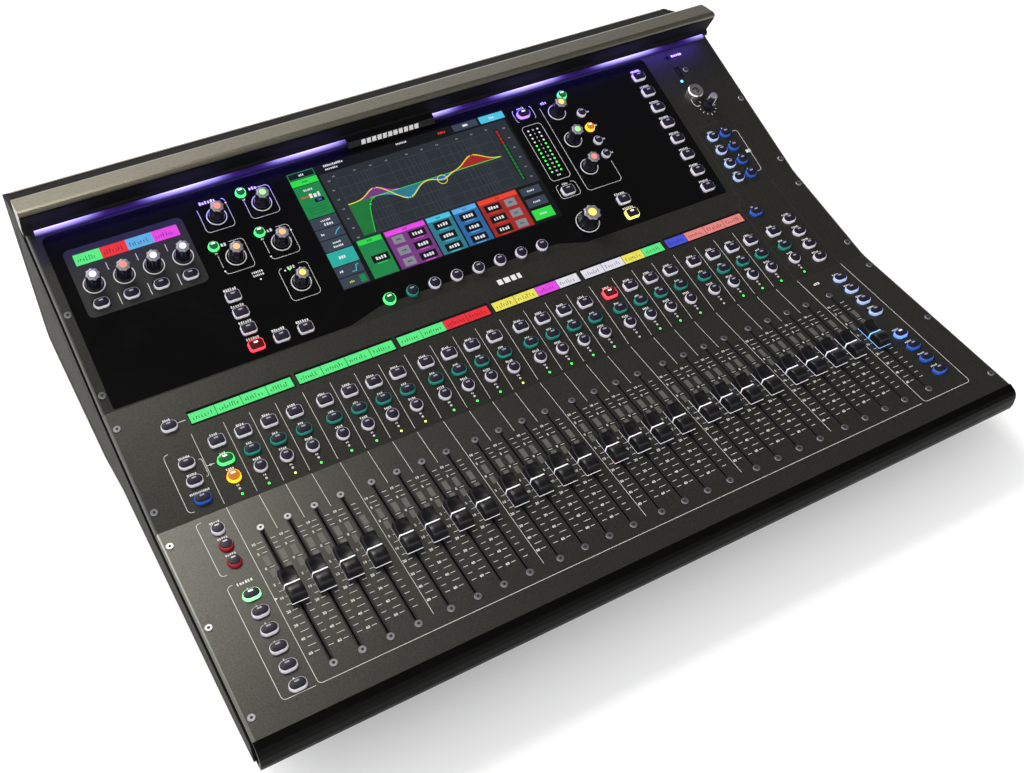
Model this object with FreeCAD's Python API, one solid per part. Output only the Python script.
import FreeCAD, Part
import math
import os

# A digital audio mixing console: 24 channel faders and one master fader, their keys and name
# displays, and an angled control surface with a touch screen under a lit hood.
# Millimetres. +X is the operator's right, -Y is the front edge, +Z is up.
# The origin is the centre of the footprint, on the table.

Vector = FreeCAD.Vector

# ---- Overall sizes ---------------------------------------------------------------------------
CHEEK_OUTER = 336.5
FRONT_Y = -264.5
REAR_Y = 264.6
FOOT_HEIGHT = 8.0
PANEL_HALF_WIDTH = 335.0
PANEL_THICKNESS = 2.0
PANEL_EDGE_CHAMFER = 1.2

# ---- The three decks of the folded control surface -------------------------------------------
FADER_TILT = 3.0
KEY_TILT = 14.3
SCREEN_TILT = 23.2
FADER_DECK_Y = -227.2
FADER_DECK_Z = 70.1
FADER_DECK_FRONT = -28.0
FADER_DECK_LENGTH = 156.3
KEY_DECK_LENGTH = 110.9
SCREEN_DECK_LENGTH = 170.0

# ---- Channel layout ----------------------------------------------------------------------------
BANKS = 6
CHANNELS_PER_BANK = 4
CHANNEL_PITCH = 21.2
BANK_GAP = 25.44
MASTER_GAP = 26.4
FIRST_CHANNEL_X = -265.8
BANK_PITCH = (CHANNELS_PER_BANK - 1) * CHANNEL_PITCH + BANK_GAP
KEY_ROW_PITCH = 16.0
LEFT_COLUMN_X = -293.2
RIGHT_COLUMN_X = 292.6

# ---- Faders --------------------------------------------------------------------------------------
FADER_REST_V = 68.0
FADER_TRAVEL_DOWN = 54.0
FADER_TRAVEL_UP = 46.0
FADER_CAP_WIDTH = 13.0
FADER_CAP_TOP_WIDTH = 11.4
FADER_CAP_HALF_LENGTH = 13.8
FADER_CAP_BASE = 1.3
SLOT_HALF_WIDTH = 1.7
SLOT_START = 3.6
SLOT_END = 124.0
FADER_SCREW_SPAN = 127.2
TONGUE_THICKNESS = 1.2
TONGUE_LENGTH = 5.0
TRACK_HALF_WIDTH = 7.0
TRACK_DEPTH = 24.0
TRACK_WALL = 1.0
MOTOR_RADIUS = 6.5

# ---- Keys ------------------------------------------------------------------------------------------
KEY_HEIGHT = 3.8
KEY_GAP = 0.4
KEY_TOP_FILLET = 0.6
KEY_FLANGE = 1.2
KEY_FLANGE_TOP = -2.5
KEY_FLANGE_BOTTOM = -4.0
SQUARE_KEY = (12.6, 9.2, 2.4)
OVAL_KEY = (12.8, 8.6, 4.2)
SMALL_OVAL_KEY = (11.2, 8.8, 4.3)
ROUND_KEY = (10.4, 10.4, 5.2)
SMALL_ROUND_KEY = (8.6, 8.6, 4.3)

# ---- Rotary controls ---------------------------------------------------------------------------
KNOB_RADIUS = 6.6
KNOB_HEIGHT = 16.5
KNOB_LIFT = 0.8
KNOB_FLUTES = 8
LARGE_KNOB_RADIUS = 9.2
SHAFT_RADIUS = 3.0
SHAFT_HOLE_RADIUS = 3.6
SHAFT_DEPTH = 9.0
LEVEL_KNOB_RADIUS = 5.0
LEVEL_KNOB_HEIGHT = 18.5

# ---- Glass, screen and displays ----------------------------------------------------------------
GLASS_LEFT = -325.0
GLASS_RIGHT = 256.0
GLASS_BOTTOM = 1.5
GLASS_TOP = 163.0
GLASS_THICKNESS = 1.2
GLASS_GAP = 0.2
GLASS_LEDGE = 4.0
GLASS_BUMP_V = 9.5
SCREEN_LEFT = -119.2
SCREEN_RIGHT = 94.0
SCREEN_BOTTOM = 33.0
SCREEN_TOP = 153.4
SCREEN_RAISE = 0.3
STRIP_LENGTH = 86.0
STRIP_WIDTH = 13.0
STRIP_V = 75.5
STRIP_RECESS = 0.6

# ---- Casing ------------------------------------------------------------------------------------------
SHEET = 1.5
TRAY_HALF_WIDTH = 331.8
CHEEK_INNER = 332.0
CHEEK_DROP = 5.5
BELLY_HALF_WIDTH = 286.0
HOOD_HALF_WIDTH = 336.2
HOOD_WALL = 2.2
UNDERSIDE = [(-256.0, 42.0), (-205.0, 36.5), (30.0, 28.0), (92.0, FOOT_HEIGHT)]
BELLY_FRONT = [(-205.0, 36.5), (-186.0, FOOT_HEIGHT)]
REAR_FACE_Y = 259.0
REAR_DECK_FRONT = (208.4, 182.6)
REAR_DECK_BACK = (REAR_Y, 166.9)
FOOT_RADIUS = 13.0
FOOT_X = 255.0
FOOT_Y = (-160.0, 228.0)

# ---- Rear sockets ------------------------------------------------------------------------------------
SOCKET_FLANGE_RADIUS = 12.2
SOCKET_BODY_RADIUS = 11.0
INPUT_COLUMNS = 12
INPUT_PITCH = 27.0
INPUT_START_X = 6.0
SOCKET_ROWS_Z = (62.0, 96.0)
OUTPUT_COLUMNS = 4
OUTPUT_START_X = -122.0
OUTPUT_CUP_RADIUS = 9.0
OUTPUT_CUP_DEPTH = 12.0


def turned_deck(origin_y, origin_z, tilt):
    """Frame of one deck: X along the width, Y up the slope, Z out of the face."""
    return FreeCAD.Placement(Vector(0, origin_y, origin_z), FreeCAD.Rotation(Vector(1, 0, 0), tilt))


def step_along(origin, tilt, length):
    angle = math.radians(tilt)
    return (origin[0] + length * math.cos(angle), origin[1] + length * math.sin(angle))


fader_origin = (FADER_DECK_Y, FADER_DECK_Z)
key_origin = step_along(fader_origin, FADER_TILT, FADER_DECK_LENGTH)
screen_origin = step_along(key_origin, KEY_TILT, KEY_DECK_LENGTH)
fader_deck = turned_deck(fader_origin[0], fader_origin[1], FADER_TILT)
key_deck = turned_deck(key_origin[0], key_origin[1], KEY_TILT)
screen_deck = turned_deck(screen_origin[0], screen_origin[1], SCREEN_TILT)


def on_deck(shape, deck):
    placed = shape.copy()
    placed.Placement = deck.multiply(placed.Placement)
    return placed


def block(x0, x1, y0, y1, z0, z1):
    return Part.makeBox(x1 - x0, y1 - y0, z1 - z0, Vector(x0, y0, z0))


def cylinder(radius, x, y, z0, z1):
    return Part.makeCylinder(radius, z1 - z0, Vector(x, y, z0))


def prism_x(points, x0, x1):
    """A profile in the Y-Z plane, drawn along X."""
    corners = [Vector(x0, y, z) for y, z in points]
    face = Part.Face(Part.makePolygon(corners + corners[:1]))
    return face.extrude(Vector(x1 - x0, 0, 0))


def prism_z(points, z0, z1):
    corners = [Vector(x, y, z0) for x, y in points]
    face = Part.Face(Part.makePolygon(corners + corners[:1]))
    return face.extrude(Vector(0, 0, z1 - z0))


def rounded_block(width, length, radius, z0, z1):
    """An upright block centred on the Z axis with its four corners rounded."""
    if radius * 2 >= width and radius * 2 >= length:
        return cylinder(radius, 0, 0, z0, z1)
    half_w = width / 2
    half_l = length / 2
    turn = radius * (1 - math.sqrt(0.5))
    corners = [(1, 1), (-1, 1), (-1, -1), (1, -1)]
    edges = []
    last = None
    first = None
    for index, (sx, sy) in enumerate(corners):
        side = Vector(sx * half_w, sy * (half_l - radius), z0)
        end = Vector(sx * (half_w - radius), sy * half_l, z0)
        start, stop = (side, end) if index % 2 == 0 else (end, side)
        middle = Vector(sx * (half_w - turn), sy * (half_l - turn), z0)
        if last is not None and last.distanceToPoint(start) > 1e-6:
            edges.append(Part.makeLine(last, start))
        edges.append(Part.Arc(start, middle, stop).toShape())
        first = start if first is None else first
        last = stop
    if last.distanceToPoint(first) > 1e-6:
        edges.append(Part.makeLine(last, first))
    return Part.Face(Part.Wire(edges)).extrude(Vector(0, 0, z1 - z0))


def round_upright_corners(shape, radius, wanted):
    """Fillet the upright edges whose (x, y) position is in the wanted list."""
    chosen = []
    for edge in shape.Edges:
        ends = [vertex.Point for vertex in edge.Vertexes]
        if len(ends) < 2 or abs(ends[0].x - ends[1].x) + abs(ends[0].y - ends[1].y) > 1e-6:
            continue
        if any(abs(ends[0].x - x) + abs(ends[0].y - y) < 1e-3 for x, y in wanted):
            chosen.append(edge)
    return shape.makeFillet(radius, chosen)


def solids_of(shape):
    return list(shape.Solids)


def save(name, shapes):
    """Write the solids as one STEP file, one solid alone or several as a group."""
    solids = []
    for shape in shapes:
        solids.extend(solids_of(shape))
    result = solids[0] if len(solids) == 1 else Part.makeCompound(solids)
    result.exportStep("parts/" + name + ".step")


def channel_x(channel):
    bank = channel // CHANNELS_PER_BANK
    step = channel % CHANNELS_PER_BANK
    return FIRST_CHANNEL_X + bank * BANK_PITCH + step * CHANNEL_PITCH


channels = [channel_x(channel) for channel in range(BANKS * CHANNELS_PER_BANK)]
master_x = channels[-1] + MASTER_GAP
strips = channels + [master_x]

# ---- Where every key sits: (deck, x, v, size) ------------------------------------------------
mute_places = [(key_deck, x, 54.8, SQUARE_KEY) for x in strips]
select_places = [(key_deck, x, 37.4, OVAL_KEY) for x in strips]
listen_places = [(key_deck, x, 21.4, ROUND_KEY) for x in strips]

layer_places = [(fader_deck, LEFT_COLUMN_X, -4.0 + KEY_ROW_PITCH * row, OVAL_KEY) for row in range(6)]
layer_places += [(fader_deck, LEFT_COLUMN_X, 108.0 + KEY_ROW_PITCH * row, ROUND_KEY) for row in range(3)]
layer_places += [(key_deck, LEFT_COLUMN_X, 13.6 + KEY_ROW_PITCH * row, OVAL_KEY) for row in range(3)]
layer_places += [(key_deck, LEFT_COLUMN_X, 81.2, OVAL_KEY)]

mix_places = [(fader_deck, RIGHT_COLUMN_X, 12.0 + KEY_ROW_PITCH * row, OVAL_KEY) for row in (0, 1, 2, 3)]
mix_places += [(fader_deck, RIGHT_COLUMN_X, 12.0 + KEY_ROW_PITCH * row, OVAL_KEY) for row in (5, 6, 7, 8)]
mix_places += [(key_deck, RIGHT_COLUMN_X, 13.6 + KEY_ROW_PITCH * row, OVAL_KEY) for row in range(4)]
mix_places += [(key_deck, 268.2, 81.3, OVAL_KEY)]
mix_places += [(screen_deck, x, 11.6 + KEY_ROW_PITCH * row, SMALL_OVAL_KEY)
               for x in (276.0, 290.4) for row in range(4)]

SOFT_PITCH_LEFT = 15.8
SOFT_PITCH_RIGHT = 18.9
screen_keys = [(-87.2 + 21.14 * column, 12.2, ROUND_KEY) for column in range(8)]
soft_keys = [(-204.9, 12.6 + SOFT_PITCH_LEFT * row, SQUARE_KEY) for row in range(4)]
soft_keys += [(-183.4, 12.6, SQUARE_KEY), (-162.4, 12.6, SQUARE_KEY)]
soft_keys += [(156.1, 12.6, SQUARE_KEY), (156.1, 28.6, SQUARE_KEY)]
soft_keys += [(240.9, 13.0 + SOFT_PITCH_RIGHT * row, SQUARE_KEY) for row in range(8)]
rotary_keys = [(-301.7 + 24.4 * column, 90.6, OVAL_KEY) for column in range(4)]
section_keys = [(-161.6, 149.4, SMALL_ROUND_KEY), (-202.0, 108.4, SMALL_ROUND_KEY)]
section_keys += [(-161.8, 108.4, SMALL_ROUND_KEY), (156.8, 149.8, SMALL_ROUND_KEY)]
section_keys += [(165.2, v, SMALL_ROUND_KEY) for v in (77.8, 93.4, 109.0, 126.0)]
section_keys += [(111.3, 142.7, OVAL_KEY), (111.3, 54.8, SQUARE_KEY)]
display_places = [(screen_deck, x, v, size)
                  for x, v, size in screen_keys + soft_keys + rotary_keys + section_keys]

key_groups = {
    "mute_keys": mute_places,
    "select_keys": select_places,
    "listen_keys": listen_places,
    "layer_keys": layer_places,
    "mix_keys": mix_places,
    "display_keys": display_places,
}

# ---- Where every rotary control sits on the screen deck: (x, v, radius) ---------------------
knobs = {}
for column in range(4):
    knobs["soft_rotary_%d" % (column + 1)] = (-301.0 + 24.4 * column, 109.0, KNOB_RADIUS)
knobs["preamp_knob"] = (-188.4, 135.0, KNOB_RADIUS)
knobs["filter_knob"] = (-148.5, 135.0, KNOB_RADIUS)
knobs["gate_knob"] = (-188.4, 94.0, KNOB_RADIUS)
knobs["compressor_knob"] = (-148.5, 94.0, KNOB_RADIUS)
knobs["pan_knob"] = (-148.5, 53.2, KNOB_RADIUS)
knobs["equaliser_width_knob"] = (143.3, 134.6, KNOB_RADIUS)
knobs["equaliser_frequency_knob"] = (143.3, 102.6, KNOB_RADIUS)
knobs["equaliser_gain_knob"] = (143.3, 71.0, KNOB_RADIUS)
knobs["screen_knob"] = (112.6, 19.6, LARGE_KNOB_RADIUS)
LEVEL_KNOB_PLACE = (290.0, 92.0)

# ---- Where the small things on the right of the screen deck sit -------------------------------
HEADPHONE_PLACE = (285.5, 110.6)
HEADPHONE_NUT_RADIUS = 8.0
HEADPHONE_NUT_HEIGHT = 5.5
HEADPHONE_BORE_RADIUS = 3.25
HEADPHONE_BORE_DEPTH = 14.0
HEADPHONE_NECK_RADIUS = 5.6
MINIJACK_PLACE = (281.5, 156.0)
MINIJACK_RING_RADIUS = 3.4
MINIJACK_BORE_RADIUS = 1.8
USB_PLACE = (283.7, 137.5)
USB_WIDTH = 5.4
USB_LENGTH = 13.4
STATUS_LED_PLACE = (281.0, 127.0)

# ---- Screws that hold the panel: (deck, x, v) ------------------------------------------------------
EDGE_SCREW_X = 328.8
edge_screws = []
for side in (-1, 1):
    edge_screws += [(fader_deck, side * EDGE_SCREW_X, v) for v in (-11.5, 65.0, 142.0)]
    edge_screws += [(key_deck, side * EDGE_SCREW_X, v) for v in (17.5, 95.0)]
    edge_screws += [(screen_deck, side * EDGE_SCREW_X, v) for v in (15.6, 90.0)]
EDGE_SCREW_HEAD_RADIUS = 2.9
EDGE_SCREW_SHANK_RADIUS = 1.5
EDGE_SCREW_LENGTH = 9.0
SCREW_HEAD_HEIGHT = 0.8
SCREW_SOCKET_RADIUS = 1.1
SCREW_SOCKET_DEPTH = 0.5
FADER_SCREW_LENGTH = 5.0

os.makedirs("parts", exist_ok=True)


# ---- Surface panel: steel sheet in three flat decks that meet at two folds, cut for every control --
def deck_line(height):
    """The folded surface seen from the side, moved out along its own normal by height."""
    def point(origin, tilt, along):
        angle = math.radians(tilt)
        y = origin[0] + along * math.cos(angle) - height * math.sin(angle)
        z = origin[1] + along * math.sin(angle) + height * math.cos(angle)
        return (y, z)
    bend_1 = math.tan(math.radians((KEY_TILT - FADER_TILT) / 2)) * height
    bend_2 = math.tan(math.radians((SCREEN_TILT - KEY_TILT) / 2)) * height
    front = point(fader_origin, FADER_TILT, FADER_DECK_FRONT)
    return [
        front,
        point(key_origin, KEY_TILT, bend_1),
        point(screen_origin, SCREEN_TILT, bend_2),
        point(screen_origin, SCREEN_TILT, SCREEN_DECK_LENGTH),
    ]


def glass_outline(inset):
    left = GLASS_LEFT + inset
    right = GLASS_RIGHT - inset
    top = GLASS_TOP - inset
    bottom = GLASS_BOTTOM + inset
    bump = GLASS_BUMP_V + inset
    return [
        (left, bottom), (-127.0 + inset * 0.1, bottom), (-97.0 - inset * 0.1, bump),
        (75.0 + inset * 0.1, bump), (101.0 - inset * 0.1, bottom), (right, bottom),
        (right, top), (left, top),
    ]


def glass_blank(inset, z0, z1):
    points = glass_outline(inset)
    shape = prism_z(points, z0, z1)
    shape = round_upright_corners(shape, 6.0, points[6:8])
    shape = round_upright_corners(shape, 2.0, [points[0], points[5]])
    return round_upright_corners(shape, 16.0, points[1:5])


def key_tool(size, grow, z0, z1):
    width, length, radius = size
    return rounded_block(width + 2 * grow, length + 2 * grow, radius + grow, z0, z1)


def moved(shape, x, y):
    copy = shape.copy()
    copy.translate(Vector(x, y, 0))
    return copy


key_hole_tools = {size: key_tool(size, KEY_GAP, -6.0, 3.0)
                  for size in (SQUARE_KEY, OVAL_KEY, SMALL_OVAL_KEY, ROUND_KEY, SMALL_ROUND_KEY)}
deck_cuts = {"fader": [], "key": [], "screen": []}
deck_frames = {"fader": fader_deck, "key": key_deck, "screen": screen_deck}
for places in key_groups.values():
    for deck, x, v, size in places:
        for deck_name, frame in deck_frames.items():
            if frame is deck:
                deck_cuts[deck_name].append(moved(key_hole_tools[size], x, v))

glass_key_cuts = list(deck_cuts["screen"])
for x in strips:
    deck_cuts["fader"].append(block(x - SLOT_HALF_WIDTH, x + SLOT_HALF_WIDTH, SLOT_START, SLOT_END, -6, 3))
    for v in (0.0, FADER_SCREW_SPAN):
        deck_cuts["fader"].append(cylinder(EDGE_SCREW_SHANK_RADIUS + 0.1, x, v, -6, 3))
for deck, x, v in edge_screws:
    for deck_name, frame in deck_frames.items():
        if frame is deck:
            deck_cuts[deck_name].append(cylinder(EDGE_SCREW_SHANK_RADIUS + 0.1, x, v, -6, 3))
strip_lefts = [channels[0] - 11.7 + BANK_PITCH * bank for bank in range(BANKS)]
for left in strip_lefts:
    deck_cuts["key"].append(block(left - 0.2, left + STRIP_LENGTH + 0.2,
                                  STRIP_V - 0.2, STRIP_V + STRIP_WIDTH + 0.2, -6, 3))
LED_V = 5.6
LED_RADIUS = 1.0
led_positions = [(x, LED_V) for x in strips] + [(x, LED_V + 4.8) for x in strips]
for x, v in led_positions:
    deck_cuts["key"].append(cylinder(LED_RADIUS + 0.05, x, v, -6, 3))
deck_cuts["screen"].append(glass_blank(-GLASS_GAP, -GLASS_THICKNESS, 3.0))
deck_cuts["screen"].append(glass_blank(GLASS_LEDGE, -6.0, 3.0))
deck_cuts["screen"].append(cylinder(HEADPHONE_NECK_RADIUS + 0.2, HEADPHONE_PLACE[0], HEADPHONE_PLACE[1], -6, 3))
deck_cuts["screen"].append(cylinder(MINIJACK_RING_RADIUS + 0.1, MINIJACK_PLACE[0], MINIJACK_PLACE[1], -6, 3))
deck_cuts["screen"].append(cylinder(SHAFT_HOLE_RADIUS, LEVEL_KNOB_PLACE[0], LEVEL_KNOB_PLACE[1], -6, 3))
deck_cuts["screen"].append(cylinder(1.6, STATUS_LED_PLACE[0], STATUS_LED_PLACE[1], -6, 3))
deck_cuts["screen"].append(block(USB_PLACE[0] - USB_WIDTH / 2 - 0.1, USB_PLACE[0] + USB_WIDTH / 2 + 0.1,
                                 USB_PLACE[1] - USB_LENGTH / 2 - 0.1,
                                 USB_PLACE[1] + USB_LENGTH / 2 + 0.1, -6, 3))

top_line = deck_line(0.0)
under_line = deck_line(-PANEL_THICKNESS)
deck_spans = {
    "fader": (FADER_DECK_FRONT - 2, FADER_DECK_LENGTH),
    "key": (0.0, KEY_DECK_LENGTH),
    "screen": (0.0, SCREEN_DECK_LENGTH + 2),
}
panel_decks = []
for index, (deck_name, (span_start, span_end)) in enumerate(deck_spans.items()):
    frame = deck_frames[deck_name]
    deck_profile = [top_line[index], top_line[index + 1], under_line[index + 1], under_line[index]]
    tools = [on_deck(tool, frame) for tool in deck_cuts[deck_name]]
    for side in (-1, 1):
        edge = side * PANEL_HALF_WIDTH
        inner = edge - side * PANEL_EDGE_CHAMFER
        corners = [Vector(inner, span_start, 0), Vector(inner, span_start, 1), Vector(edge + side, span_start, 1),
                   Vector(edge + side, span_start, -PANEL_EDGE_CHAMFER),
                   Vector(edge, span_start, -PANEL_EDGE_CHAMFER)]
        wedge = Part.Face(Part.makePolygon(corners + corners[:1]))
        wedge = wedge.extrude(Vector(0, span_end - span_start, 0))
        tools.append(on_deck(wedge, frame))
    panel_decks.append(prism_x(deck_profile, -PANEL_HALF_WIDTH, PANEL_HALF_WIDTH).cut(tools))
save("surface_panel", panel_decks)

# ---- Black glass over the screen deck, with holes for its keys, shafts and the touch screen -----
glass = glass_blank(0.0, -GLASS_THICKNESS, 0.0)
glass_cuts = list(glass_key_cuts)
glass_cuts += [cylinder(SHAFT_HOLE_RADIUS, x, v, -6, 3) for x, v, radius in knobs.values()]
glass_cuts.append(block(SCREEN_LEFT - 0.3, SCREEN_RIGHT + 0.3, SCREEN_BOTTOM - 0.3, SCREEN_TOP + 0.3, -6, 3))
glass = glass.cut(glass_cuts)
save("display_glass", [on_deck(glass, screen_deck)])

# ---- Touch screen and the seven liquid-crystal name strips -----------------------------------
touch_screen = block(SCREEN_LEFT, SCREEN_RIGHT, SCREEN_BOTTOM, SCREEN_TOP, -1.3, SCREEN_RAISE)
screen_back = block(SCREEN_LEFT - 3, SCREEN_RIGHT + 3, SCREEN_BOTTOM - 3, SCREEN_TOP + 3, -7.0, -1.2)
displays = [on_deck(touch_screen.fuse(screen_back).removeSplitter(), screen_deck)]
for left in strip_lefts:
    window = block(left, left + STRIP_LENGTH, STRIP_V, STRIP_V + STRIP_WIDTH, -5.0, -STRIP_RECESS)
    lug = block(left - 0.8, left + STRIP_LENGTH + 0.8, STRIP_V - 2, STRIP_V + STRIP_WIDTH + 2, -5.0, -2.0)
    displays.append(on_deck(window.fuse(lug).removeSplitter(), key_deck))
rotary_strip = block(-309.0, -221.0, 127.6, 140.0, -4.0, -GLASS_THICKNESS)
displays.append(on_deck(rotary_strip, screen_deck))
save("display_modules", displays)


# ---- Key caps: translucent caps with a retaining flange under the panel --------------------------
def key_cap(size):
    cap = key_tool(size, 0.0, KEY_FLANGE_BOTTOM, KEY_HEIGHT)
    rim = [edge for edge in cap.Edges
           if all(abs(vertex.Point.z - KEY_HEIGHT) < 1e-6 for vertex in edge.Vertexes)]
    cap = cap.makeFillet(KEY_TOP_FILLET, rim)
    flange = key_tool(size, KEY_FLANGE, KEY_FLANGE_BOTTOM, KEY_FLANGE_TOP)
    return cap.fuse(flange).removeSplitter()


caps = {size: key_cap(size) for size in key_hole_tools}
for name, places in key_groups.items():
    save(name, [on_deck(moved(caps[size], x, v), deck) for deck, x, v, size in places])


# ---- Rotary controls ---------------------------------------------------------------------------------
def fluted_knob(radius):
    body = cylinder(radius, 0, 0, KNOB_LIFT, KNOB_HEIGHT)
    body = body.makeChamfer(0.6, [edge for edge in body.Edges
                                  if len(edge.Vertexes) == 1 and edge.Vertexes[0].Point.z > KNOB_LIFT + 1])
    flute_radius = radius * 0.26
    flutes = []
    for index in range(KNOB_FLUTES):
        angle = 2 * math.pi * (index + 0.5) / KNOB_FLUTES
        reach = radius + flute_radius * 0.45
        flutes.append(cylinder(flute_radius, reach * math.cos(angle), reach * math.sin(angle),
                               KNOB_LIFT + 2.0, KNOB_HEIGHT + 1))
    body = body.cut(flutes)
    return body.fuse(cylinder(SHAFT_RADIUS, 0, 0, -SHAFT_DEPTH, KNOB_LIFT + 1)).removeSplitter()


knob_shapes = {radius: fluted_knob(radius) for radius in (KNOB_RADIUS, LARGE_KNOB_RADIUS)}
for name, (x, v, radius) in knobs.items():
    save(name, [on_deck(moved(knob_shapes[radius], x, v), screen_deck)])

level_body = cylinder(LEVEL_KNOB_RADIUS, 0, 0, KNOB_LIFT, LEVEL_KNOB_HEIGHT)
level_top = [edge for edge in level_body.Edges
             if len(edge.Vertexes) == 1 and edge.Vertexes[0].Point.z > LEVEL_KNOB_HEIGHT - 1]
level_body = level_body.makeFillet(0.8, level_top)
level_body = level_body.fuse(cylinder(SHAFT_RADIUS, 0, 0, -SHAFT_DEPTH, KNOB_LIFT + 1)).removeSplitter()
save("headphone_level_knob", [on_deck(moved(level_body, *LEVEL_KNOB_PLACE), screen_deck)])


# ---- Faders: a scooped cap on a steel tongue with its carriage -----------------------------------
def fader_shape():
    """Profile in v and height, centred on the index line."""
    half = FADER_CAP_HALF_LENGTH
    base = FADER_CAP_BASE
    back_top = Vector(0, half - 2.0, 10.4)
    back_bottom = Vector(0, half, base)
    saddle = Vector(0, 0, 6.8)
    hump_front = Vector(0, -half + 2.4, 8.4)
    front_bottom = Vector(0, -half, base)
    scoop = Part.BSplineCurve()
    scoop.interpolate([back_top, Vector(0, half - 4.4, 8.5), Vector(0, 4.6, 7.1), saddle])
    hump = Part.BSplineCurve()
    hump.interpolate([saddle, Vector(0, -3.2, 9.0), Vector(0, -7.2, 9.7), hump_front])
    edges = [scoop.toShape(), hump.toShape(), Part.makeLine(hump_front, front_bottom),
             Part.makeLine(front_bottom, back_bottom), Part.makeLine(back_bottom, back_top)]
    face = Part.Face(Part.Wire(edges))
    face.translate(Vector(-FADER_CAP_WIDTH / 2, 0, 0))
    solid = face.extrude(Vector(FADER_CAP_WIDTH, 0, 0))
    wide = FADER_CAP_WIDTH / 2
    narrow = FADER_CAP_TOP_WIDTH / 2
    taper = [Vector(-wide, -20, base), Vector(wide, -20, base), Vector(wide, -20, base + 1.4),
             Vector(narrow, -20, 12), Vector(-narrow, -20, 12), Vector(-wide, -20, base + 1.4)]
    wedge = Part.Face(Part.makePolygon(taper + taper[:1])).extrude(Vector(0, 40, 0))
    cap = solid.common(wedge)
    tongue = block(-TONGUE_THICKNESS / 2, TONGUE_THICKNESS / 2,
                   -TONGUE_LENGTH / 2, TONGUE_LENGTH / 2, -14.0, base + 2)
    carriage = block(-4.0, 4.0, -6.0, 6.0, -18.0, -12.0)
    return cap.fuse([tongue, carriage]).removeSplitter()


fader = fader_shape()
fader_names = ["fader_%02d" % (index + 1) for index in range(len(channels))] + ["fader_master"]
for name, x in zip(fader_names, strips):
    save(name, [on_deck(moved(fader, x, FADER_REST_V), fader_deck)])


# ---- Motor-fader tracks under the fader deck -------------------------------------------------------
def fader_track():
    top = -PANEL_THICKNESS
    body = block(-TRACK_HALF_WIDTH, TRACK_HALF_WIDTH, -6.0, 133.0, -TRACK_DEPTH, top)
    inner = TRACK_HALF_WIDTH - TRACK_WALL
    cavity = block(-inner, inner, 4.5, 123.0, -TRACK_DEPTH + TRACK_WALL, top - TRACK_WALL)
    slot = block(-SLOT_HALF_WIDTH, SLOT_HALF_WIDTH, 4.5, 123.0, top - 3, top + 1)
    track = body.cut([cavity, slot])
    track = track.cut([cylinder(EDGE_SCREW_SHANK_RADIUS, 0, v, -8, 0) for v in (0.0, FADER_SCREW_SPAN)])
    motor = Part.makeCylinder(MOTOR_RADIUS, 24, Vector(0, 107, -TRACK_DEPTH - MOTOR_RADIUS + 0.5),
                              Vector(0, 1, 0))
    return track.fuse(motor).removeSplitter()


track = fader_track()
save("fader_tracks", [on_deck(moved(track, x, 0), fader_deck) for x in strips])


# ---- Fasteners: panel-edge screws and the fader screws -----------------------------------------
def screw(shank_length):
    head = cylinder(EDGE_SCREW_HEAD_RADIUS, 0, 0, 0, SCREW_HEAD_HEIGHT)
    crown = [edge for edge in head.Edges
             if len(edge.Vertexes) == 1 and edge.Vertexes[0].Point.z > SCREW_HEAD_HEIGHT / 2]
    head = head.makeChamfer(0.3, crown)
    socket = cylinder(SCREW_SOCKET_RADIUS, 0, 0, SCREW_HEAD_HEIGHT - SCREW_SOCKET_DEPTH, 2)
    shank = cylinder(EDGE_SCREW_SHANK_RADIUS - 0.05, 0, 0, -shank_length, 0)
    return head.cut(socket).fuse(shank).removeSplitter()


fader_screw = screw(FADER_SCREW_LENGTH)
edge_screw = screw(EDGE_SCREW_LENGTH)
screws = [on_deck(moved(fader_screw, x, v), fader_deck)
          for x in strips for v in (0.0, FADER_SCREW_SPAN)]
screws += [on_deck(moved(edge_screw, x, v), deck) for deck, x, v in edge_screws]

# ---- Front rail: matt black bullnose that closes the front of the casing -------------------------
rail_top = deck_line(0.0)[0]
rail_points = [
    (rail_top[0], rail_top[1]), (-261.0, 66.2), (-263.4, 63.6), (FRONT_Y, 59.5), (FRONT_Y, 52.0),
    (-263.2, 46.6), (-261.2, 43.4), (-257.6, 41.6), (-252.6, 41.2),
    (-252.6, 44.0), (-257.0, 45.2), (-259.6, 48.4), (-261.0, 52.6), (-261.0, 59.0),
    (-259.4, 62.2), (rail_top[0] + 0.1, rail_top[1] - 3.0),
]
rail = prism_x(rail_points, -PANEL_HALF_WIDTH, PANEL_HALF_WIDTH)
save("front_rail", [rail])

# ---- Casing tray: folded steel, thin under the faders and deep at the back ----------------------
TRAY_FRONT_Y = -252.4
tray_line = deck_line(-PANEL_THICKNESS)
tray_outer = prism_x([
    (TRAY_FRONT_Y, 41.6), UNDERSIDE[1], UNDERSIDE[2], UNDERSIDE[3],
    (REAR_FACE_Y, FOOT_HEIGHT), (REAR_FACE_Y, 150.0), (tray_line[3][0], 160.0),
    tray_line[3], tray_line[2], tray_line[1], (TRAY_FRONT_Y, tray_line[0][1]),
], -TRAY_HALF_WIDTH, TRAY_HALF_WIDTH)
belly = [BELLY_FRONT[0], BELLY_FRONT[1], UNDERSIDE[3], (UNDERSIDE[3][0], 40.0), (BELLY_FRONT[0][0], 40.0)]
tray_outer = tray_outer.fuse(prism_x(belly, -BELLY_HALF_WIDTH, BELLY_HALF_WIDTH))
inside = TRAY_HALF_WIDTH - SHEET
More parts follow.
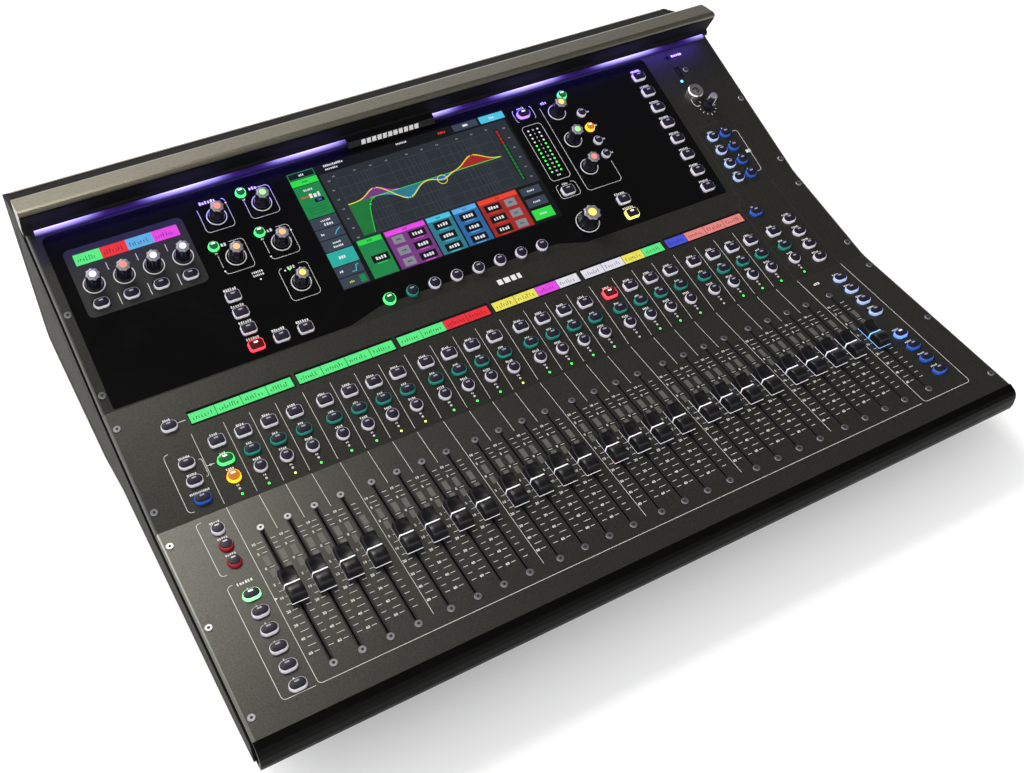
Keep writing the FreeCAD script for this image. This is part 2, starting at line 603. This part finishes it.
tray_inner = prism_x([
    (TRAY_FRONT_Y + SHEET, 43.0), (UNDERSIDE[1][0], UNDERSIDE[1][1] + SHEET),
    (UNDERSIDE[2][0], UNDERSIDE[2][1] + SHEET), (UNDERSIDE[3][0], FOOT_HEIGHT + SHEET),
    (REAR_Y + 5, FOOT_HEIGHT + SHEET), (REAR_Y + 5, 260.0), (TRAY_FRONT_Y + SHEET, 260.0),
], -inside, inside)
belly_inside = BELLY_HALF_WIDTH - SHEET
tray_inner = tray_inner.fuse(prism_x([
    (BELLY_FRONT[0][0] + SHEET, UNDERSIDE[1][1] + 1.6), (BELLY_FRONT[1][0] + SHEET, FOOT_HEIGHT + SHEET),
    (UNDERSIDE[3][0] + 1, FOOT_HEIGHT + SHEET), (UNDERSIDE[3][0] + 1, 60.0), (BELLY_FRONT[0][0] + SHEET, 60.0),
], -belly_inside, belly_inside))
tray = tray_outer.cut(tray_inner)
save("chassis_tray", [tray])

# ---- Side cheeks: grey side plates with a shadow groove and cooling slots ------------------------
CHEEK_TOP = deck_line(-CHEEK_DROP)
CHEEK_GROOVE = [(66.0, 17.5), (98.0, 22.0), (238.0, 22.0), (248.0, 33.0), (248.0, 118.0), (236.0, 150.0)]
CHEEK_GROOVE_WIDTH = 3.2
CHEEK_GROOVE_DEPTH = 1.8
VENT_ROWS = (18.0, 27.0)
VENT_COLUMNS = 12
VENT_PITCH = 11.0
VENT_LENGTH = 7.0
VENT_WIDTH = 1.6
cheek_profile = [
    (TRAY_FRONT_Y - 0.1, 41.8), (UNDERSIDE[1][0], UNDERSIDE[1][1] + 0.3),
    (UNDERSIDE[2][0], UNDERSIDE[2][1] + 0.3), (UNDERSIDE[3][0], FOOT_HEIGHT + 0.3),
    (REAR_FACE_Y, FOOT_HEIGHT + 0.3), (REAR_Y, 13.0), REAR_DECK_BACK, (REAR_DECK_FRONT[0] + 0.4, 182.4),
    (REAR_DECK_FRONT[0] + 0.4, 170.0), (CHEEK_TOP[3][0], 166.0), CHEEK_TOP[2], CHEEK_TOP[1],
    (TRAY_FRONT_Y - 0.1, CHEEK_TOP[0][1]),
]


def side_cheek(side):
    plate = prism_x(cheek_profile, CHEEK_INNER, CHEEK_OUTER)
    tools = []
    for start, stop in zip(CHEEK_GROOVE, CHEEK_GROOVE[1:]):
        dy = stop[0] - start[0]
        dz = stop[1] - start[1]
        reach = math.hypot(dy, dz)
        ny = -dz / reach * CHEEK_GROOVE_WIDTH / 2
        nz = dy / reach * CHEEK_GROOVE_WIDTH / 2
        ey = dy / reach
        ez = dz / reach
        corners = [(start[0] + ny - ey, start[1] + nz - ez), (stop[0] + ny + ey, stop[1] + nz + ez),
                   (stop[0] - ny + ey, stop[1] - nz + ez), (start[0] - ny - ey, start[1] - nz - ez)]
        tools.append(prism_x(corners, CHEEK_OUTER - CHEEK_GROOVE_DEPTH, CHEEK_OUTER + 1))
    for drop in VENT_ROWS:
        for column in range(VENT_COLUMNS):
            v = 14.0 + VENT_PITCH * column
            vent = block(CHEEK_INNER - 1, CHEEK_OUTER + 1, v, v + VENT_LENGTH,
                         -drop - VENT_WIDTH / 2, -drop + VENT_WIDTH / 2)
            tools.append(on_deck(vent, screen_deck))
    plate = plate.cut(tools)
    if side > 0:
        return plate
    return plate.mirror(Vector(0, 0, 0), Vector(1, 0, 0))


save("side_cheeks", [side_cheek(-1), side_cheek(1)])

# ---- Top hood: hollow aluminium extrusion that overhangs the light bar ---------------------------
HOOD_FOOT_V = 168.0
HOOD_BACK_Y = 208.2
BADGE_LEFT = -57.0
BADGE_RIGHT = 28.0
hood_foot = (screen_origin[0] + HOOD_FOOT_V * math.cos(math.radians(SCREEN_TILT)),
             screen_origin[1] + HOOD_FOOT_V * math.sin(math.radians(SCREEN_TILT)))
hood_outer_points = [
    (hood_foot[0], hood_foot[1] - 4.0), (hood_foot[0], hood_foot[1] + 2.0), (192.6, 178.0),
    (183.4, 194.6), (182.7, 196.0), (182.8, 197.4), (184.0, 198.9), (186.4, 199.6),
    (203.8, 198.8), (205.8, 198.2), (206.8, 196.6), (HOOD_BACK_Y, 182.0), (HOOD_BACK_Y, 170.2),
    (hood_foot[0] + 4.0, 170.2),
]
hood = prism_x(hood_outer_points, -HOOD_HALF_WIDTH, HOOD_HALF_WIDTH)
hood_inner_points = [
    (hood_foot[0] + HOOD_WALL, 160.0), (hood_foot[0] + HOOD_WALL, 176.0), (194.9, 178.9),
    (186.4, 194.6), (187.0, 197.0), (203.6, 196.4), (HOOD_BACK_Y - HOOD_WALL, 182.0),
    (HOOD_BACK_Y - HOOD_WALL, 160.0),
]
END_WALL = 2.2
hood = hood.cut(prism_x(hood_inner_points, -HOOD_HALF_WIDTH + END_WALL, HOOD_HALF_WIDTH - END_WALL))
badge_block = block(BADGE_LEFT, BADGE_RIGHT, 160.4, HOOD_FOOT_V + 0.5, 0.0, 6.0)
badge_slope = prism_x([(160.3, -0.1), (163.4, 5.2), (HOOD_FOOT_V + 2, 5.6), (HOOD_FOOT_V + 2, 9.0),
                       (155.0, 9.0), (155.0, -0.1)], -100, 100)
badge_block = badge_block.cut(badge_slope)
hood = hood.fuse(on_deck(badge_block, screen_deck))
panel_keepout = [deck_line(0.1)[3], deck_line(0.1)[2], deck_line(-PANEL_THICKNESS - 0.1)[2],
                 deck_line(-PANEL_THICKNESS - 0.1)[3]]
along = math.radians(SCREEN_TILT)
panel_keepout[0] = (panel_keepout[0][0] + 0.2 * math.cos(along), panel_keepout[0][1] + 0.2 * math.sin(along))
panel_keepout[3] = (panel_keepout[3][0] + 0.2 * math.cos(along), panel_keepout[3][1] + 0.2 * math.sin(along))
hood = hood.cut(prism_x(panel_keepout, -400, 400))
hood_low = prism_x([(150.0, 100.0), (230.0, 100.0), (230.0, 171.2), (hood_foot[0] + 1.2, 171.2),
                    (150.0, 152.0)], -400, 400)
hood = hood.cut(hood_low)
save("top_hood", [max(hood.Solids, key=lambda solid: solid.Volume)])

# ---- Light bar: two frosted light strips along the foot of the hood ------------------------------
LIGHT_FRONT_V = 164.0
LIGHT_BACK_V = HOOD_FOOT_V - 0.1
LIGHT_HEIGHT = 4.8
LIGHT_HALF_SPAN = 328.0
light_runs = ((-LIGHT_HALF_SPAN, BADGE_LEFT - 0.4), (BADGE_RIGHT + 0.4, LIGHT_HALF_SPAN))
light_bars = [block(x0, x1, LIGHT_FRONT_V, LIGHT_BACK_V, 0.1, LIGHT_HEIGHT) for x0, x1 in light_runs]

# ---- Rear cover: folded sheet, sloping top ledge and upright socket face -------------------------
LEDGE_STEP_Y = 238.0
cover_outer = [REAR_DECK_FRONT, (LEDGE_STEP_Y, 174.6), (LEDGE_STEP_Y + 1.6, 172.6), REAR_DECK_BACK,
               (REAR_Y, 161.0), (REAR_FACE_Y + SHEET, 158.0), (REAR_FACE_Y + SHEET, FOOT_HEIGHT)]
cover_inner = [(REAR_FACE_Y, FOOT_HEIGHT), (REAR_FACE_Y, 158.6), (REAR_Y - SHEET, 161.8),
               (REAR_Y - SHEET, 165.7), (LEDGE_STEP_Y + 1.0, 171.2), (LEDGE_STEP_Y - 0.6, 173.2),
               (REAR_DECK_FRONT[0], 181.0)]
rear_cover = prism_x(cover_outer + cover_inner, -TRAY_HALF_WIDTH, TRAY_HALF_WIDTH)
input_places = [(INPUT_START_X + INPUT_PITCH * column, z)
                for z in SOCKET_ROWS_Z for column in range(INPUT_COLUMNS)]
output_places = [(OUTPUT_START_X + INPUT_PITCH * column, z)
                 for z in SOCKET_ROWS_Z for column in range(OUTPUT_COLUMNS)]
NETWORK_X = (-200.0, -170.0)
NETWORK_Z = 100.0
NETWORK_OPENING = (12.0, 9.0)
INLET_X = -285.0
INLET_Z = 60.0
INLET_OPENING = (25.0, 17.5)
SWITCH_Z = 100.0
SWITCH_OPENING = (12.6, 18.4)


def rear_block(x, z, width, height, y0, y1):
    return block(x - width / 2, x + width / 2, y0, y1, z - height / 2, z + height / 2)


def rear_cylinder(radius, x, z, y0, y1):
    return Part.makeCylinder(radius, y1 - y0, Vector(x, y0, z), Vector(0, 1, 0))


face_out = REAR_FACE_Y + SHEET
rear_cuts = [rear_cylinder(SOCKET_BODY_RADIUS + 0.2, x, z, REAR_FACE_Y - 1, face_out + 1)
             for x, z in input_places + output_places]
rear_cuts += [rear_block(x, NETWORK_Z, 16.2, 14.2, REAR_FACE_Y - 1, face_out + 1) for x in NETWORK_X]
rear_cuts.append(rear_block(INLET_X, INLET_Z, 29.2, 21.2, REAR_FACE_Y - 1, face_out + 1))
rear_cuts.append(rear_block(INLET_X, SWITCH_Z, 16.2, 22.2, REAR_FACE_Y - 1, face_out + 1))
rear_cover = rear_cover.cut(rear_cuts)
save("rear_cover", [rear_cover])


# ---- Sockets: microphone inputs and outputs, network, mains inlet, and those on the top ----------
def input_socket():
    shape = rear_cylinder(SOCKET_FLANGE_RADIUS, 0, 0, face_out, face_out + 1.5)
    shape = shape.fuse(rear_cylinder(SOCKET_BODY_RADIUS, 0, 0, face_out - 22, face_out + 2.2))
    pins = [rear_cylinder(1.3, 3.6 * math.sin(angle), 3.6 * math.cos(angle), face_out - 10, face_out + 5)
            for angle in (math.radians(90), math.radians(180), math.radians(270))]
    return shape.cut(pins)


def output_socket():
    shape = rear_cylinder(SOCKET_FLANGE_RADIUS, 0, 0, face_out, face_out + 1.5)
    shape = shape.fuse(rear_cylinder(SOCKET_BODY_RADIUS, 0, 0, face_out - 22, face_out + 2.2))
    return shape.cut(rear_cylinder(OUTPUT_CUP_RADIUS, 0, 0, face_out + 2.2 - OUTPUT_CUP_DEPTH, face_out + 5))


def set_at(shape, x, z):
    copy = shape.copy()
    copy.translate(Vector(x, 0, z))
    return copy


sockets = [set_at(input_socket(), x, z) for x, z in input_places]
sockets += [set_at(output_socket(), x, z) for x, z in output_places]
for x in NETWORK_X:
    jack = rear_block(x, NETWORK_Z, 16.0, 14.0, face_out - 20, face_out + 1.0)
    sockets.append(jack.cut(rear_block(x, NETWORK_Z, NETWORK_OPENING[0], NETWORK_OPENING[1],
                                       face_out - 12, face_out + 5)))
inlet = rear_block(INLET_X, INLET_Z, 50.0, 25.0, face_out, face_out + 1.6)
inlet = inlet.fuse(rear_block(INLET_X, INLET_Z, 29.0, 21.0, face_out - 20, face_out + 1))
inlet = inlet.cut(rear_block(INLET_X, INLET_Z, INLET_OPENING[0], INLET_OPENING[1], face_out - 16, face_out + 5))
sockets.append(inlet)
switch_frame = rear_block(INLET_X, SWITCH_Z, 20.0, 26.0, face_out, face_out + 1.5)
switch_frame = switch_frame.fuse(rear_block(INLET_X, SWITCH_Z, 16.0, 22.0, face_out - 12, face_out + 1))
SWITCH_PIVOT_Y = face_out - 1.0
SWITCH_PIN_RADIUS = 1.0
SWITCH_PIN_REACH = 7.4
switch_frame = switch_frame.cut([
    rear_block(INLET_X, SWITCH_Z, SWITCH_OPENING[0], SWITCH_OPENING[1], face_out - 10.5, face_out + 5),
    Part.makeCylinder(SWITCH_PIN_RADIUS + 0.05, 2 * SWITCH_PIN_REACH + 0.1,
                      Vector(INLET_X - SWITCH_PIN_REACH - 0.05, SWITCH_PIVOT_Y, SWITCH_Z), Vector(1, 0, 0)),
])
sockets.append(switch_frame)

headphone = cylinder(HEADPHONE_NUT_RADIUS, 0, 0, 0.0, HEADPHONE_NUT_HEIGHT)
headphone = headphone.makeFillet(2.0, [edge for edge in headphone.Edges if len(edge.Vertexes) == 1
                                       and edge.Vertexes[0].Point.z > 1])
headphone = headphone.fuse(cylinder(HEADPHONE_NECK_RADIUS, 0, 0, -15.0, 1.0))
headphone = headphone.cut(cylinder(HEADPHONE_BORE_RADIUS, 0, 0,
                                   HEADPHONE_NUT_HEIGHT - HEADPHONE_BORE_DEPTH, HEADPHONE_NUT_HEIGHT + 1))
sockets.append(on_deck(moved(headphone, *HEADPHONE_PLACE), screen_deck))
minijack = cylinder(MINIJACK_RING_RADIUS, 0, 0, -8.0, 0.4)
minijack = minijack.cut(cylinder(MINIJACK_BORE_RADIUS, 0, 0, -6.5, 2.0))
sockets.append(on_deck(moved(minijack, *MINIJACK_PLACE), screen_deck))
usb = block(-USB_WIDTH / 2, USB_WIDTH / 2, -USB_LENGTH / 2, USB_LENGTH / 2, -12.0, 0.1)
usb = usb.cut(block(-USB_WIDTH / 2 + 0.4, USB_WIDTH / 2 - 0.4, -USB_LENGTH / 2 + 0.4,
                    USB_LENGTH / 2 - 0.4, -10.0, 1.0))
usb = usb.fuse(block(-0.3, 1.5, -USB_LENGTH / 2 + 0.8, USB_LENGTH / 2 - 0.8, -10.5, -1.0)).removeSplitter()
sockets.append(on_deck(moved(usb, *USB_PLACE), screen_deck))
save("sockets", sockets)


# ---- Power rocker: pivots on two small pins in its frame -------------------------------------------
ROCKER_REST_ANGLE = 8.0
rocker_profile = [(-8.4, 2.6), (0.0, 1.4), (8.4, 2.6), (8.0, 0.0), (4.6, -6.0), (-4.6, -6.0), (-8.0, 0.0)]
rocker_corners = [(SWITCH_PIVOT_Y + out, SWITCH_Z + up) for up, out in rocker_profile]
rocker = prism_x(rocker_corners, INLET_X - 6.0, INLET_X + 6.0)
rocker = rocker.fuse(Part.makeCylinder(SWITCH_PIN_RADIUS, 2 * SWITCH_PIN_REACH,
                                       Vector(INLET_X - SWITCH_PIN_REACH, SWITCH_PIVOT_Y, SWITCH_Z),
                                       Vector(1, 0, 0))).removeSplitter()
rocker.rotate(Vector(INLET_X, SWITCH_PIVOT_Y, SWITCH_Z), Vector(1, 0, 0), ROCKER_REST_ANGLE)
save("power_rocker", [rocker])

# ---- Boards and power supply ------------------------------------------------------------------------------
BOARD = 1.6
BOARD_HALF_WIDTH = 325.0
KEY_BOARD_DEPTH = -8.8
DISPLAY_BOARD_DEPTH = -6.7
SCREEN_BOARD_DEPTH = -11.0
SCREEN_KEY_BOARD_DEPTH = -9.0
board_outlines = [
    (key_deck, -BOARD_HALF_WIDTH, BOARD_HALF_WIDTH, 4.0, 72.0, KEY_BOARD_DEPTH),
    (key_deck, -BOARD_HALF_WIDTH, BOARD_HALF_WIDTH, 74.0, 96.0, DISPLAY_BOARD_DEPTH),
    (fader_deck, -BOARD_HALF_WIDTH, -277.0, -14.0, 150.0, KEY_BOARD_DEPTH),
    (fader_deck, 279.0, BOARD_HALF_WIDTH, 0.0, 150.0, KEY_BOARD_DEPTH),
    (screen_deck, -BOARD_HALF_WIDTH, -123.5, 3.0, 160.0, SCREEN_BOARD_DEPTH),
    (screen_deck, 99.0, BOARD_HALF_WIDTH, 3.0, 84.0, SCREEN_BOARD_DEPTH),
    (screen_deck, 99.0, 262.0, 84.4, 160.0, SCREEN_BOARD_DEPTH),
    (screen_deck, -122.0, 98.0, 4.0, 24.0, SCREEN_KEY_BOARD_DEPTH),
]
boards = [on_deck(block(x0, x1, v0, v1, depth, depth + BOARD), deck)
          for deck, x0, x1, v0, v1, depth in board_outlines]
main_board = block(-150.0, 310.0, 112.0, 236.0, 30.0, 30.0 + BOARD)
boards.append(main_board)
floor_top = FOOT_HEIGHT + SHEET
boards += [cylinder(4.0, x, y, floor_top, 30.0) for x in (-140.0, 80.0, 300.0) for y in (120.0, 228.0)]
boards.append(block(-322.0, -205.0, 118.0, 232.0, floor_top, 52.0))
save("boards_and_power_supply", boards)

# ---- Status lights under the keys and beside the socket for a memory stick -----------------------
status_lights = [on_deck(cylinder(LED_RADIUS, x, v, -6.0, 0.3), key_deck) for x, v in led_positions]
status_lights.append(on_deck(cylinder(1.5, STATUS_LED_PLACE[0], STATUS_LED_PLACE[1], -5.0, 0.6), screen_deck))

# ---- Feet: rubber discs under the base, each held by one screw -----------------------------------
FOOT_CHAMFER = 1.5
FOOT_BORE_RADIUS = 4.0
FOOT_BORE_DEPTH = 4.0
FOOT_SCREW_RADIUS = 3.4
FOOT_SCREW_LIFT = 1.2
feet = []
for x in (-FOOT_X, FOOT_X):
    for y in FOOT_Y:
        foot = cylinder(FOOT_RADIUS, x, y, 0.0, FOOT_HEIGHT)
        lower_rim = [edge for edge in foot.Edges if len(edge.Vertexes) == 1
                     and edge.Vertexes[0].Point.z < 1]
        foot = foot.makeChamfer(FOOT_CHAMFER, lower_rim)
        feet.append(foot.cut(cylinder(FOOT_BORE_RADIUS, x, y, -1.0, FOOT_BORE_DEPTH)))
        screws.append(cylinder(FOOT_SCREW_RADIUS, x, y, FOOT_SCREW_LIFT, FOOT_BORE_DEPTH))
save("feet", feet)
save("fasteners", screws)
save("light_bar", [on_deck(bar, screen_deck) for bar in light_bars] + status_lights)
